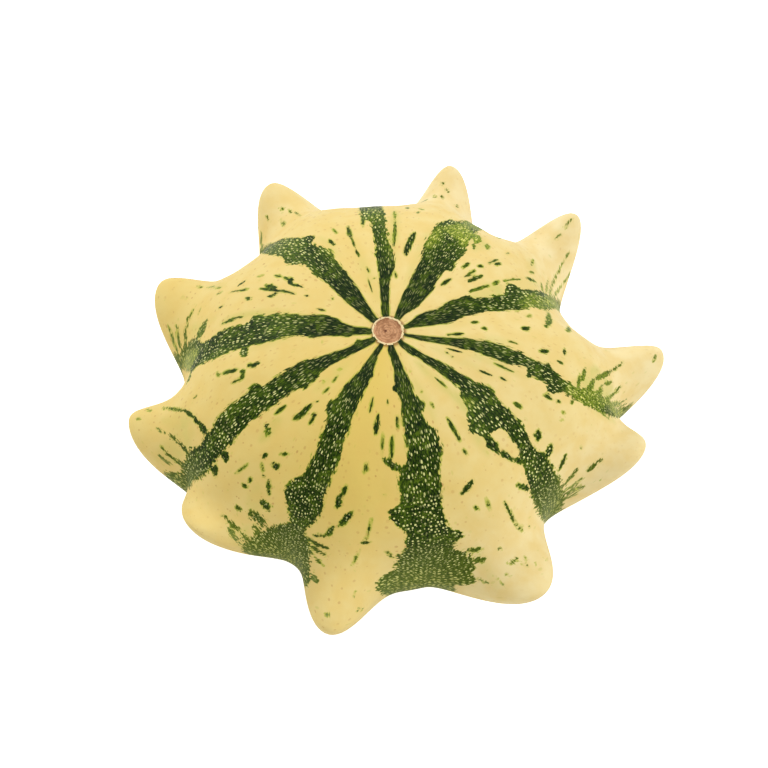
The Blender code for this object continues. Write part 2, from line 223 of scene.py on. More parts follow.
# Spurs and flecks beside the stripes: turn and growth at both ends, width in millimetres, depth
FLECKS = (
    (.08, 40, .4, 51, 1.2, .4), (.1, 50, .26, 59, .7, .4), (.72, 21, .72, 29, .7, .3),
    (.72, 31, .74, 34, .7, .4), (.73, 36, .73, 45, .45, .3), (.74, 49, .73, 56, .9, .8),
    (.8, 55, .82, 60, .7, .3), (.66, 62, .8, 74, .8, 0), (.68, 68, .88, 86, .8, 0),
    (.68, 72, .82, 92, .8, 0), (.66, 58, .74, 63, .8, .2), (.06, 16, .1, 18, .8, .7),
    (.86, 23, .85, 29, .9, .7),
    (.93, 23, .95, 28, .5, .5), (.97, 30, .95, 32, .6, .9), (.95, 35, .96, 41, .5, .6),
    (.91, 37.5, .91, 40.5, .6, 1), (.22, 35.5, .27, 38, .4, .3), (.99, 48, 1, 50.5, .3, .6),
    (.87, 61, .92, 66, .6, .3), (.99, 85.5, 1, 89, .6, .7), (1.02, 95, 1.03, 98, .6, .6),
    (.98, 82, .97, 84, .4, .3), (1.05, 15, 1.04, 19, .75, 1), (1.07, 25, 1.08, 28.5, .65, 1),
    (1.22, 36, 1.3, 39, .8, .4), (1.13, 41, 1.19, 45, 1, .2), (1.28, 40, 1.36, 46, 2, .15),
    (1.24, 58, 1.24, 63, .4, .2), (1.86, 76, 1.84, 78, .5, .4), (1.96, 80, 1.98, 81, .7, .8),
    (1.99, 75, 2, 77, .6, .7), (1.7, 45, 1.78, 42, .8, .5), (2.68, 34, 2.65, 42, .5, .9),
    (2.34, 23, 2.34, 36, .6, .5), (2.34, 36, 2.35, 46, .5, .15), (2.24, 11.5, 2.29, 13.5, .5, 1),
    (2.13, 19.5, 2.09, 30, 1.2, 1), (2.16, 20, 2.13, 26, .8, 1), (2.73, 12, 2.78, 12, .6, .7),
    (2.81, 14, 2.82, 16, .4, .9), (2.92, 8, 2.88, 12.5, .4, .4), (2.86, 20, 2.86, 23.5, .5, .9),
    (2.86, 24, 2.84, 29, .3, .4), (2.85, 29, 2.82, 36.5, .8, 1), (2.12, 43.5, 2.12, 46.5, .4, .4),
    (2.23, 50, 2.24, 53, .6, .6), (2.96, 34, 2.96, 38, .3, .2), (2.08, 49, 2.13, 51, .3, .4),
    (2.02, 82.5, 2.03, 83.5, .9, 1), (2.04, 75, 2.06, 77, .4, .4), (3.07, 29, 3.08, 32.5, .7, 1),
    (3.04, 76, 3.04, 78, .5, 1), (3.06, 80, 3.07, 81, .6, 1), (3.17, 83.5, 3.17, 85, .8, 1),
    (3.16, 71, 3.13, 77, .7, .35), (3.03, 68, 3.02, 75, .4, .3), (3.25, 87.5, 3.3, 88, 1.2, .5),
    (3.81, 14, 3.84, 13.5, .4, 1), (3.96, 20, 3.97, 21, .5, 1), (3.85, 23.5, 3.87, 27.5, .6, 1),
    (3.87, 28, 3.79, 29.5, 1.3, 1), (3.81, 30, 3.81, 32, .6, 1), (3.81, 33.5, 3.81, 36, .6, .8),
    (3.84, 41, 3.85, 43.5, .4, .5), (3.91, 48.5, 3.96, 50.5, .8, .9), (3.99, 24, 3.99, 31, .5, 1),
    (3.97, 31.5, 3.95, 36.5, 1, 1), (4, 29, 4, 38, .7, 1), (3.96, 61, 3.94, 67, .4, .25),
    (3.92, 68, 3.91, 74, .4, .3), (3.92, 77, 3.91, 80, .6, 1), (3.6, 87, 3.62, 90, .8, .9),
    (3.64, 95, 3.6, 96, .8, .8), (3.6, 96, 3.5, 101, .6, .8), (3.8, 95, 3.82, 99, .5, .6),
    (4.03, 79.5, 4.03, 81.5, .4, .7), (4.14, 13.5, 4.14, 16, .45, 1),
    (4.01, 30, 4.07, 31.5, .7, 1), (4.07, 31, 4.09, 33.5, .5, 1), (4.12, 39.5, 4.11, 42.5, .7, 1),
    (4.01, 43.5, 4.02, 47.5, .5, .9), (4.02, 48, 4.03, 53, .3, .7), (4.16, 52.5, 4.17, 55, .5, 1),
    (4.01, 58, 4.02, 61, .4, .8), (4.71, 37.5, 4.82, 35.5, 1.9, 1),
    (4.25, 61.5, 4.33, 68, 3.6, .45), (4.67, 66, 4.73, 67, 2.4, .5), (4.31, 40, 4.34, 50, .7, .6),
    (4.15, 76, 4.38, 80, 1.1, .6), (4.1, 74, 4.16, 75.5, .5, .5), (4.2, 82, 4.4, 84, 1, .5),
    (4.2, 86, 4.4, 87, .8, .5), (4.1, 69, 4.14, 70, .4, .3), (4.88, 47, 4.95, 45.5, .6, .3),
    (4.92, 12.5, 4.98, 12.5, .3, .2),
    (4.9, 85, 4.92, 83, .4, .3), (5.01, 30.5, 5.03, 33, 1, 1), (5, 34, 4.97, 33.5, .7, 1),
    (4.97, 39, 4.94, 44, .8, 1), (4.99, 38, 4.96, 41, .8, 1), (5.02, 36.5, 5.08, 35.5, .9, 1),
    (5.08, 35.5, 5.13, 37.5, 1, 1), (5.12, 38, 5.12, 40.5, .4, .9), (5.71, 54.5, 5.75, 57, 1.8, 1),
    (5.68, 56, 5.73, 56, 1.8, 1), (5.7, 61, 5.76, 65, 1.3, .9), (5.68, 63, 5.73, 64, 1.5, .9),
    (5.45, 57.5, 5.28, 58, 1.7, 1), (5.3, 58.5, 5.2, 59.5, 1.2, 1),
    (5.2, 59.5, 5.05, 64.5, .8, .8), (5.05, 64.5, 4.93, 74, .7, .5), (4.93, 74, 4.9, 78, .5, .4),
    (5.42, 71, 5.28, 72.5, 1.3, 1), (5.28, 72.5, 5.18, 75, 1.2, 1), (5.44, 77.5, 5.36, 80, 1.2, 1),
    (5.36, 80, 5.24, 81.5, 1, .9), (5.37, 83.5, 5.28, 84.5, .8, .5), (5.14, 77, 5.08, 80, .6, .4),
    (5.8, 29, 5.79, 33, .7, 1), (5.81, 37, 5.81, 38, .9, .9), (5.84, 37.5, 5.9, 40, 1.3, .35),
    (5.89, 12.5, 5.94, 12, .7, .7), (5.87, 17, 5.92, 17.5, .4, .3), (5.92, 52, 5.88, 58, .3, .6),
    (5.98, 60, 6.02, 60.5, .9, .9), (5.99, 77, 6, 78, .5, .7), (4.99, 57, 5, 59, .4, .3),
    (5, 86, 5, 87, .5, .5), (6, 28.5, 6, 31, .9, 1), (6.15, 70, 6.24, 74, 1.6, 1),
    (6.2, 70, 6.32, 76, 2, .9), (6.03, 70, 6.08, 71.5, 1, .9), (6.02, 77, 6.2, 82, .9, .7),
    (6.2, 82, 6.3, 88, 1, .6), (6.1, 81, 6.26, 90, .8, .5), (6.24, 76, 6.34, 84, 1.3, .6),
    (6.7, 71.5, 6.9, 70, 1.1, 1), (6.74, 74, 6.88, 72.5, 1, .9), (6.76, 68.5, 6.85, 66, .7, 1),
    (6.8, 76.5, 6.89, 76.5, .7, .7), (6.82, 83, 6.87, 82, 1.6, .5), (6.9, 61, 6.86, 66, 1.3, 1),
    (6.2, 63.5, 6.24, 65, 1.6, 1), (6.24, 64, 6.3, 67, 2, 1), (6.17, 54, 6.24, 60, .8, 1),
    (6.15, 47, 6.19, 49, 1.4, 1), (6.11, 47.5, 6.14, 47, .8, 1), (6.14, 43.2, 6.21, 42.5, .6, .8),
    (6, 45, 6.01, 47, .8, .9), (6.02, 49, 6.08, 51.5, .4, .9), (6.1, 53, 6.12, 53.5, .5, .8),
    (6.01, 56, 6.02, 58, .6, .9), (6.19, 26.5, 6.21, 28, .9, 1), (6.21, 28, 6.23, 30.5, .5, 1),
    (6.03, 24.5, 6.03, 30.5, 1.1, 1), (6, 14, 6.04, 16, .4, 1), (6.06, 18, 6.06, 20, .45, 1),
    (6.08, 23, 6.09, 23, .45, .8), (6.6, 67, 6.64, 72, .6, .6), (6.93, 45, 6.91, 49, .8, 1),
    (6.9, 48.5, 6.89, 54, 1.3, 1), (7.02, 53.5, 6.94, 60, 1.3, 1), (7, 16, 7, 20.5, .5, 1),
    (7.13, 20.5, 7.12, 23, .5, 1), (7.12, 22.5, 7.12, 26.5, 1.1, 1),
    (7.24, 16, 7.24, 17.5, .4, .9), (7.36, 21, 7.36, 24.5, .6, 1), (7.2, 26, 7.2, 33, .3, .8),
    (7.29, 27, 7.29, 34, .6, 1), (7.21, 34, 7.39, 38.5, 1.4, 1), (7.07, 36, 7.07, 39.5, .75, 1),
    (7.16, 55, 7.14, 62, .35, .9), (7.14, 62, 7.13, 64, .7, 1), (7.11, 65, 7.16, 65, .9, 1),
    (7.1, 68, 7.07, 74, .35, .8), (7.26, 69, 7.3, 73, .9, 1), (7.23, 46, 7.25, 46.5, .3, .2),
    (7.1, 82, 7.1, 84, .4, .4), (7.12, 88, 7.15, 90, .6, .4), (6.97, 88, 6.99, 87, .5, .25),
    (7.86, 49.5, 7.96, 47, 1.3, 1), (7.83, 50, 7.87, 49.5, .7, 1), (7.91, 56, 7.93, 58, .6, .8),
    (7.9, 19, 7.91, 20.5, .5, .9), (7.83, 15.5, 7.86, 15, .35, .7), (7.8, 9, 7.84, 9, .35, .8),
    (7.78, 73, 7.86, 73, 1, .7), (7.78, 77, 7.86, 76.8, 1.3, .6), (7.78, 84, 7.82, 86, .8, .4),
    (7.96, 75, 7.97, 75, .5, .7), (7.92, 83, 7.93, 83.5, .5, .5), (7.86, 83, 7.88, 87, .4, .3),
    (8, 80, 8.02, 80.5, .9, 1), (8.03, 82, 8.04, 83, .5, .8), (8.06, 81, 8.07, 82, .4, .6),
    (7.97, 80, 7.98, 80.5, .5, .9), (8.08, 84.5, 8.09, 84.5, .4, .6), (8.15, 86, 8.16, 87, .5, .4),
    (8.58, 59, 8.66, 56, 1.5, 1), (8.6, 51, 8.65, 48, 1.3, 1), (8.6, 48, 8.63, 51, .9, 1),
    (8.61, 68, 8.71, 64.5, 1.2, 1), (8.59, 78, 8.73, 74.5, 1.2, 1), (8.6, 82, 8.72, 81, .6, .8),
    (8.62, 84.5, 8.69, 85.5, 2.2, .8), (8.59, 88, 8.66, 88, .9, .6), (8.24, 36, 8.27, 44, 2, 1),
    (8.28, 44, 8.33, 50, 1.3, 1), (8.33, 50, 8.43, 54, 1.5, 1), (8.2, 39.5, 8.24, 40, .8, 1),
    (8.26, 58, 8.33, 64, 1.2, 1), (8.12, 60, 8.14, 74, .8, 1), (8.14, 73, 8.17, 74, .7, .8),
    (8.21, 13.5, 8.24, 17.5, .5, .4), (8.21, 76, 8.22, 76.5, .5, .7), (8.01, 25, 8.01, 33, .7, 1),
    (8, 36, 8.01, 38, .5, .9), (8.8, 20, 8.83, 24, .45, 1), (8.87, 26, 8.87, 28, .45, 1),
    (8.78, 13, 8.83, 12.8, .4, .6), (8.84, 11.5, 8.88, 10.5, .4, .3), (8.98, 10, 9.02, 14, .5, .6),
    (8.69, 35, 8.7, 37.5, .9, 1), (8.86, 51, 8.87, 51.5, .4, 1), (8.77, 78.8, 8.87, 78.5, .9, .9),
    (8.78, 88, 8.78, 88.5, .8, .7), (8.84, 66.5, 8.84, 67.5, .5, .8), (8.93, 49, 8.93, 50, .4, .3),
    (8.01, 55, 8.01, 60, .5, .8), (9.28, 50, 9.46, 50, 1, .9), (9.4, 51, 9.6, 52.7, 1.1, .9),
    (9.3, 54, 9.55, 58.5, 1.3, .9), (9.55, 58.5, 9.8, 69.5, 1.2, .8),
    (9.8, 69.5, 9.95, 78, .4, .6), (9.3, 57, 9.5, 64, .9, .7), (9.45, 61, 9.55, 64, .6, .6),
    (9.58, 65, 9.68, 70, .8, .7), (9.35, 64, 9.55, 72, 1, .7), (9.55, 72, 9.71, 77, .8, .7),
    (9.42, 70, 9.64, 85, .9, .6), (9.2, 60, 9.22, 70, .8, .15), (9.3, 62, 9.45, 70, 1.2, .5),
    (8.97, 40, 8.97, 43, .9, 1), (8.99, 45, 8.99, 46, .7, 1), (9.06, 32, 9.1, 33, 1, 1),
    (9.06, 50, 9.1, 50, .8, .6), (9.52, 9, 9.58, 9.5, .5, .7), (9.58, 10, 9.67, 12.8, .7, .7),
    (9.9, 18, 9.91, 19, 1, .9), (9.62, 24, 9.6, 26.5, .4, .4), (9.04, 22, 9.04, 28, .35, .4),
    (9.55, 33.5, 9.61, 36.5, 1, 1), (9.5, 40, 9.5, 42, .6, 1), (9.65, 42.5, 9.76, 43.5, .7, 1),
    (9.96, 30, 10.02, 33, 1, 1), (9.92, 87, 9.96, 88, .6, .5), (9.6, 88, 9.62, 92, .5, .4),
)

# How much wider than its width each fleck grew, how much its ends taper, and how much thinner
# those on the horns are
FLECK_BLEED = 0.1
FLECK_TAPER = 0.7
HORN_THINNING = 0.3

# Valleys at the back, and the growth from which a front or a back one is out of the photo's
# sight. Guessed spurs lie beside them from there, one to a step.
BACK_VALLEYS = (1, 2, 3)
OUT_OF_SIGHT = (112, 72)
LAST_SPUR = 150
SPUR_STEP = 7

# Where a stripe's green is paler: places as for the flecks, and how pale
PALE_PATCHES = (
    (1.82, 24, 1.8, 37, 3.5, .7), (1.4, 36, 1.6, 46, 9, .8), (1.3, 30, 1.3, 36, 2.5, .4),
    (4.31, 20, 4.32, 36, 1.6, .6), (3.2, 20, 3.2, 32, 1.6, .55), (3.56, 22, 3.55, 40, 1.4, .45),
    (8.25, 22, 8.36, 27, 3, .6), (8.22, 29, 8.26, 36, 2.4, .3), (9.2, 48, 9.7, 72, 12, .65),
    (.42, 38, .52, 58, 7, .6), (.56, 58, .64, 90, 8, .8), (4.48, 66, 4.44, 92, 10, .75),
    (1.54, 50, 1.56, 70, 8, .7), (9.42, 72, 9.55, 92, 12, .75), (8.62, 70, 8.7, 92, 7, .6),
    (2.38, 16, 2.42, 34, 1.6, .6), (2.55, 36, 2.55, 50, 5, .4),
    (3.4, 38, 3.45, 58, 9, .4), (4.5, 20, 4.52, 30, 2, .5), (4.66, 40, 4.64, 56, 2, .4),
    (6.5, 20, 6.44, 24, 1.4, .3), (.66, 12, .66, 18, 1.4, .4), (7.36, 40, 7.37, 60, 1.2, .4),
    (5.48, 30, 5.4, 48, 1.2, .35),
)

# Where the yellow takes on a little green: places as for the flecks, and how much
LIME_VEILS = (
    (.62, 21, .66, 34, 5, .55), (.66, 36, .7, 58, 3.5, .3), (.84, 56, .9, 66, 3, .35),
    (.1, 6, .12, 16, 2.5, .25), (1.22, 36, 1.32, 46, 5, .6), (1.92, 10, 1.9, 34, 1.6, .35),
    (2.36, 14, 2.34, 46, 1.8, .75), (2.36, 82, 2.34, 98, 1.4, .4), (2.86, 6, 2.84, 28, 2, .3),
    (2.9, 62, 2.84, 76, 2, .2), (3.12, 24, 3.14, 36, 1.2, .3), (3.94, 60, 3.9, 76, 2.5, .3),
    (4.28, 24, 4.32, 50, 1.6, .6), (4.25, 56, 4.25, 88, 4, .3), (4.72, 18, 4.76, 34, 1.2, .3),
    (5.2, 60, 5.04, 76, 6, .35), (5.3, 64, 5.3, 86, 8, .35), (5.86, 34, 5.88, 42, 2.5, .5),
    (5.9, 8, 5.92, 20, 2, .3), (6.1, 58, 6.2, 72, 4, .25), (6.2, 78, 6.24, 92, 5, .35),
    (7.24, 42, 7.24, 48, 1.5, .25), (7.82, 12, 7.84, 24, 2, .25), (7.84, 72, 7.84, 88, 3, .3),
    (8.15, 8, 8.24, 22, 1.6, .6), (8.28, 20, 8.24, 27, 2.4, .5), (8.16, 28, 8.18, 42, 1.8, .5),
    (8.82, 8, 8.82, 24, 2, .25), (9.04, 8, 9.04, 32, 1.4, .35), (9.3, 50, 9.6, 70, 10, .6),
    (9.2, 56, 9.24, 74, 3, .6), (9.5, 12, 9.6, 27, 2, .25), (.99, 80, 1, 92, 2, .2),
)

# Paint, as the eye sees it, in parts of 255
# The cream is painted sheen: the yellow paler where light falls on the back and right
SHEEN_CREAM = (249, 232, 181)
YELLOW = (231, 202, 102)
WARM = (232, 197, 106)
LIME = (176, 184, 62)
# Near-black green by the stem, tinted blue-grey as a painted reflection
STEM_GREEN_AND_REFLECTION = (4, 22, 18)
DEEP_GREEN = (10, 28, 0)
LEAF_GREEN = (48, 76, 2)
LIGHT_GREEN = (122, 146, 34)
SPECK = (230, 229, 150)
LIME_SPECK = (224, 221, 116)
OLIVE = (98, 112, 36)
PALE_OLIVE = (146, 154, 92)
PORE = (182, 126, 70)
CORK = (212, 158, 112)
# Dark cork, and also the painted shade in the groove round the scar
DARK_CORK_AND_SHADE = (140, 88, 52)
CORK_HEART = (104, 58, 34)
RIM_CREAM = (252, 228, 172)
FLOOR_WHITE = (248, 248, 246)
WHITE = (1, 1, 1, 1)

WAXY_SHEEN = {"Specular IOR Level": 0.07, "Sheen Weight": 0.05, "Sheen Roughness": 0.35}

# Painted sheen: how pale and creamy the yellow is made on each rib and out on its horn,
# more on the lit back and right, from 0 for deep yellow to 1
RIB_SHEEN_PAINT = (0.5, 0.5, 0.45, 0.35, 0.35, 0.3, 0.2, 0.05, 0.4, 0.5)
HORN_SHEEN_PAINT = (0.9, 1.0, 0.95, 0.65, 0.3, 0.3, 0.4, 0.4, 0.75, 0.85)
# How far the streaks at the horns' roots climb for each step out from their valley
BARB_SLANT = (0.6, 0.5, 0.3, 0.2, 0.2, -0.3, 0.9, 0.7, 0.5, -0.7)

# How the fine pattern is drawn out, across and down: on the crown, the body and the horns
DRAWN_OUT = ((1.0, 2.2), (1.1, 1.4), (1.2, 0.85))
# Its length from the stem in millimetres for each radian, and how far that drifts round the body
PATTERN_FALL = 40
PATTERN_DRIFT = 8
# Millimetres to one block of a mark's edge, one speck, one mesh of the green and one dash
EDGE_STEP = 0.62
SPECK_STEP = 0.72
NETWORK_STEP = 0.42
DASH_STEP = 2.1
# How far the lime fringe reaches out past the green, in millimetres
FRINGE_WIDTH = 0.25
# Growth in parts of 180 degrees: where the green darkens towards the stem under a painted
# blue-grey reflection, where the specks start, and where painted shade darkens the groove round
# the scar
STEM_DARK = (0.22, 0.06)
SPECKS_START = (0.04, 0.2)
SCAR_GROOVE_SHADE = (0.0145, 0.0115)

# The camera and the lights: lengths in metres, the lights' powers in watts
CAMERA_DISTANCE = 0.6
CAMERA_ELEVATION = radians(62.3)
CAMERA_ROLL = radians(3.45)
CAMERA_LENS = 119.65
CAMERA_SHIFT = (-0.0012, 0.0301)
SKY_STRENGTH = 0.665
SOFTBOX_SIZE = 0.6
RIGHT_BOX = (0.64, 0.0, 0.66)
RIGHT_POWER = 2.9
BACK_BOX = (-0.57, 0.57, 0.42)
BACK_POWER = 3.1
FLOOR_GLOW = 0.9
# The floor lies just under the flat spot, so that the two don't share one face
FLOOR_GAP = 0.05 * MM


def smooth(values, place, turn=0.0):
    """Read a smooth closed curve that passes through one value at each whole place."""
    values = np.asarray(values, dtype=float)
    before = np.floor(place).astype(int)
    step = place - before
    a, b, c, d = (
        values[(before + n) % len(values)] + turn * ((before + n) // len(values))
        for n in (-1, 0, 1, 2)
    )
    bend = 2 * a - 5 * b + 4 * c - d
    twist = 3 * (b - c) + d - a
    return b + 0.5 * step * (c - a + step * (bend + step * twist))


def azimuth(place):
    """Direction of a column, in degrees."""
    knots = [side.azimuth for pair in zip(HORNS, VALLEYS) for side in pair]
    return smooth(knots, 2 * place, turn=360)


def body_level(growth):
    """Height of the body over the waist."""
    return np.where(growth < pi / 2, CROWN, UNDERSIDE) * np.cos(growth)


def growth_at(radius):
    """Growth where the body has this radius near the stem, or mirrored near the blossom end."""
    return np.arcsin((radius / WAIST_RADIUS) ** (1 / FULLNESS))


FIRST_GROWTH = float(growth_at(SKIN_STARTS))
LAST_GROWTH = pi - float(growth_at(REST_RADIUS))
REST_LEVEL = float(body_level(LAST_GROWTH))
SCAR_LEVEL = float(body_level(growth_at(SCAR[-2].radius)))
WAIST = -MM * REST_LEVEL


def horn_share(place, growth):
    """How much of its horn's reach a place on the skin has, from 0 to 1."""
    number = np.rint(place).astype(int) % TURN
    before = np.array([horn.before for horn in HORNS])[number]
    after = np.array([horn.after for horn in HORNS])[number]
    narrowness = np.where(place < np.rint(place), before, after)
    rib = 0.5 + 0.5 * np.cos(2 * pi * place)
    fade = np.where(growth < HORN_LEVEL, HORN_FADE_UP, HORN_FADE_DOWN)
    reach = (1 + (np.abs(growth - HORN_LEVEL) / fade) ** HORN_BLUNTNESS) ** -HORN_TAPER
    return HORN_SNUG * rib ** narrowness * reach * np.sin(growth) ** 0.5


def skin(place, growth):
    """Radius, direction and height of the skin, horns and low swellings included."""
    number = np.rint(place).astype(int) % TURN
    reach, rise, lean = (
        np.array([getattr(horn, name) for horn in HORNS], dtype=float)[number]
        for name in ("reach", "rise", "lean")
    )
    valley = np.array([valley.radius for valley in VALLEYS])
    share = horn_share(place, growth)
    rib = 0.5 + 0.5 * np.cos(2 * pi * place)

    radius = smooth(valley, place - 0.5) * np.sin(growth) ** FULLNESS
    root = (valley[number] + valley[number - 1]) / 2 * sin(HORN_LEVEL) ** FULLNESS
    radius = radius + (reach - root) * share
    radius += RIB_RISE * rib * np.sin(growth) ** 1.5 * (1 - share)
    height = body_level(growth) + (rise - float(body_level(HORN_LEVEL))) * share

    swell = swelling(place, growth) * np.sin(growth) * (1 - share)
    radius += swell * np.sin(growth)
    height += swell * np.cos(growth)
    return radius, azimuth(place) + lean * share, height


def swelling(place, growth):
    """Low waves that keep the skin from being too even, in millimetres."""
    turn = 2 * pi * place / TURN
    return sum(
        wave.height * np.cos(wave.around * turn + wave.down * growth + wave.start)
        for wave in SWELLINGS
    )


def waves(turn, *parts):
    """Add up waves round the body, each told by its count, its height and where it starts."""
    return sum(height * np.cos(count * turn + start) for count, height, start in parts)


def scar_rings(place):
    """The stem's scar: growth, radius and height of its rows from the middle to the skin."""
    turn = 2 * pi * place / TURN
    even = np.linspace(0, SKIN_STARTS, SCAR_ROWS + 1)[:, None]
    rise = np.interp(even, [ring.radius for ring in SCAR], [ring.rise for ring in SCAR])
    near_rim = np.exp(-((even - RIM_RADIUS) / RIM_WIDTH) ** 2)
    uneven = waves(turn, (5, 0.6, 0.8), (8, 0.5, 2.5), (13, 0.3, 0))
    aside = SCAR_OFFSET[0] * np.cos(np.radians(azimuth(place)))
    radius = even * (1 + 0.03 * near_rim * uneven) + aside * np.sin(pi * even / SKIN_STARTS) ** 0.7
    ragged = waves(turn, (3, 0.5, 1.1), (7, 0.6, 0), (17, 0.4, 4))
    rise = rise + 0.09 * near_rim * (ragged - 1.5)
    rings = RING_HEIGHT * np.cos(2 * pi * even / RING_STEP + 0.5 * np.cos(2 * turn))
    rings = rings * (even < RINGS_END)
    height = SCAR_LEVEL + rise + rings
    return growth_at(even), radius, height


def rest_rings():
    """The flat spot and the dimple of the blossom end: radius of its rows and their height."""
    radius = np.linspace(REST_RADIUS, 0, REST_ROWS + 1)
    depth = BLOSSOM_DEPTH * np.clip(1 - (radius / BLOSSOM_RADIUS) ** 2, 0, 1)
    return radius[1:, None], REST_LEVEL + depth[1:, None]


Surface = namedtuple("Surface", "place growth points across down")


def grown_surface():
    """The whole skin as rows of points in millimetres, and how far it is stretched each way."""
    place = np.arange(COLUMNS_A_HORN * TURN)[None, :] / COLUMNS_A_HORN
    rows = np.arange(1, SKIN_ROWS)[:, None]
    stations = (0, ROWS_TO_HORNS, ROWS_TO_UNDERSIDE, SKIN_ROWS)
    growths = (FIRST_GROWTH, HORNS_START, UNDERSIDE_STARTS, LAST_GROWTH)
    growth = np.interp(rows, stations, growths)
    radius, direction, height = skin(place, growth)

    scar_growth, scar_radius, scar_height = scar_rings(place)
    rest_radius, rest_height = rest_rings()
    flat = np.zeros_like(place)
    edge = np.full_like(place, REST_RADIUS)
    growth = np.vstack([scar_growth, growth, [[LAST_GROWTH]], pi - growth_at(rest_radius)])
    radius = np.vstack([scar_radius, radius, edge, rest_radius + flat])
    height = np.vstack([scar_height, height, REST_LEVEL + flat, rest_height + flat])
    plain = azimuth(place)
    direction = np.vstack([plain + 0 * scar_radius, direction, plain, plain + 0 * rest_radius])

    angle = np.radians(direction)
    points = np.stack(
        [radius * np.cos(angle), radius * np.sin(angle), height - REST_LEVEL], axis=-1
    )
    across = np.linalg.norm(np.roll(points, -1, 1) - np.roll(points, 1, 1), axis=-1)
    down = np.linalg.norm(np.gradient(points, axis=0), axis=-1)
    down /= np.maximum(np.gradient(np.degrees(growth), axis=0), 1e-6)
    return Surface(place, growth, points, across * COLUMNS_A_HORN / 2, down)


def beside(place, start):
    """Turns from a start to each place, the short way round."""
    return (place - start + TURN / 2) % TURN - TURN / 2


Marks = namedtuple("Marks", "inside depth ragged")


def green_marks(surface):
    """Depth inside the green in millimetres, below 0 on the yellow; how dark; how ragged."""
    level = np.degrees(surface.growth)
    inside = np.full(surface.across.shape, -20.0)
    depth = np.ones_like(inside)
    ragged = np.ones_like(inside)
    for horn, rows in enumerate(STRIPES):
        growths, lefts, rights = zip(*rows, *UNDERNEATH)
        place = beside(surface.place, horn + 0.5) + 0.5
        left = place - np.interp(level, growths, lefts)
        right = np.interp(level, growths, rights) - place
        marked = np.minimum(left, right) * surface.across
        depth = np.where(marked > inside, STRIPE_DEPTH[horn], depth)
        inside = np.maximum(inside, marked)
    for fleck in (*FLECKS, *guessed_flecks()):
        marked = fleck_marks(surface, level, *fleck[:5])
        depth = np.where(marked > inside, fleck[5], depth)
        ragged = np.where(marked > inside, min(0.9, 0.15 + 0.3 * fleck[4]), ragged)
        inside = np.maximum(inside, marked)
    return Marks(inside, depth, ragged)


def guessed_flecks():
    """Spurs beside the stripes' lower ends, on the sides that the photo doesn't show."""
    luck = np.random.default_rng(5)
    for valley in range(TURN):
        start = OUT_OF_SIGHT[valley in BACK_VALLEYS]
        for growth in np.arange(start, LAST_SPUR, SPUR_STEP):
            side = luck.choice((-1, 1))
            place = valley + 0.5 + side * luck.uniform(0.08, 0.3)
            far_place = place + side * luck.uniform(0.02, 0.14)
            far_growth = growth + luck.uniform(2, 7)
            width, depth = luck.uniform((0.4, 0.4), (1.3, 1.0))
            yield place, growth, far_place, far_growth, width, depth


def fleck_marks(surface, level, place, growth, far_place, far_growth, width):
    """Depth inside one fleck: a stroke on the stretched skin, widest at its middle."""
    x = -beside(surface.place, place) * surface.across
    y = (growth - level) * surface.down
    run = (far_place - place) * surface.across
    fall = (far_growth - growth) * surface.down
    along = np.clip(-(x * run + y * fall) / np.maximum(run**2 + fall**2, 1e-9), 0, 1)
    width = width * (1 - HORN_THINNING * step_up(level, 55, 75))
    bleed = FLECK_BLEED * step_up(level, 8, 30)
    half_width = bleed + width / 2 * (1 - FLECK_TAPER * (2 * along - 1) ** 2)
    return half_width - np.hypot(x + along * run, y + along * fall)


def pattern_places(surface):
    """Where the fine pattern grew, in millimetres: across its valley, down from the stem and
    down along the barbs that lean out from the valley's middle."""
    growth = surface.growth
    spread = WAIST_RADIUS * np.sin(growth) ** (0.4 * FULLNESS) * 2 * pi / TURN
    across = spread * (np.abs(surface.place % 2 - 1) - 0.5)
    drift = PATTERN_DRIFT * np.sin(2 * pi * (surface.place - 0.2) / TURN)
    down = PATTERN_FALL * growth + drift
    slant = np.array(BARB_SLANT)[np.floor(surface.place).astype(int) % TURN]
    barbs = down + slant * np.abs(across)
    return np.stack(np.broadcast_arrays(across, down, barbs), axis=-1)


def step_up(value, low, high):
    """Rise smoothly from 0 at low to 1 at high."""
    share = np.clip((value - low) / (high - low), 0, 1)
    return share * share * (3 - 2 * share)


def skin_zones(surface, marks):
    """What the skin's materials read at each point."""
    growth = np.degrees(surface.growth) + 0 * surface.place
    share = horn_share(surface.place, surface.growth)
    depth = 1 - (1 - marks.depth) * step_up(growth, 12, 30)
    for patch in PALE_PATCHES:
        marked = fleck_marks(surface, growth, *patch[:5])
        depth = depth * (1 - patch[5] * step_up(marked, -2.0, 1.5))
    veil = np.zeros_like(depth)
    for stroke in LIME_VEILS:
        marked = fleck_marks(surface, growth, *stroke[:5])
        veil = np.maximum(veil, stroke[5] * step_up(marked, -1.2, 1.2))
    pull = step_up(growth + 12 * share, 60, 80)
    ragged = 0.15 + 0.55 * step_up(growth, 4, 26) + 0.7 * pull
    ribs, horns = smooth(RIB_SHEEN_PAINT, surface.place), smooth(HORN_SHEEN_PAINT, surface.place)
    return {
        "green": marks.inside,
        "depth": depth * (1 - 0.6 * step_up(growth, 62, 92)),
        "ragged": ragged * marks.ragged,
        "veil": veil,
        "crown": 1 - step_up(growth, 36, 62),
        "pull": pull,
        # Painted sheen: paler, creamier yellow on the ribs and horns that face the light
        "cream": ribs + (horns - ribs) * step_up(growth, 45, 88),
        "growth": growth / 180,
    }


